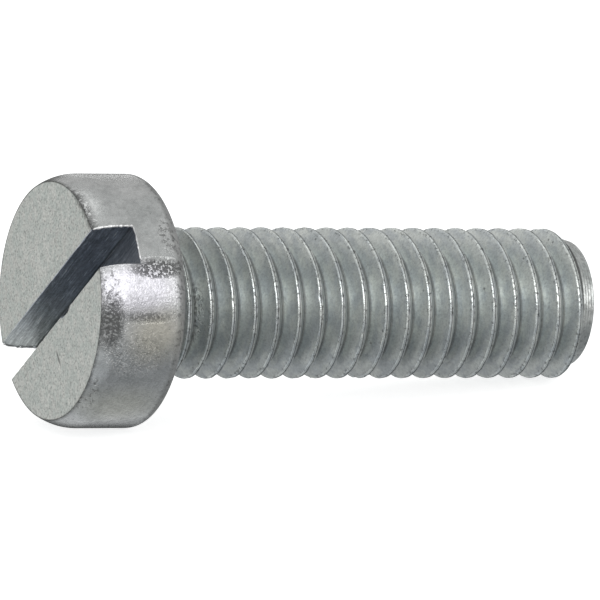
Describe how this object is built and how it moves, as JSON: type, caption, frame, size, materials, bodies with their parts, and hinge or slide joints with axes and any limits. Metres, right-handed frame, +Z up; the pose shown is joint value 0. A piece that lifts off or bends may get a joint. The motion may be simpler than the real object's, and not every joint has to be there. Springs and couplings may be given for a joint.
{
  "type": "machine screw",
  "caption": "Slotted cheese head machine screw with a full right-hand thread and a chamfered point, lying on its side.",
  "frame": {"origin": "centre of the screw's footprint on the surface that it lies on", "axes": "+X along the screw from head to point, level; +Z up; the screw's own axis dips 5.76 degrees below +X towards the point"},
  "size_m": [0.0304, 0.013, 0.0132],
  "materials": {
    "zinc_plated_steel": "satin clear-passivated zinc plating"
  },
  "bodies": {
    "root": {"screw": "zinc_plated_steel"}
  },
  "joints": []
}
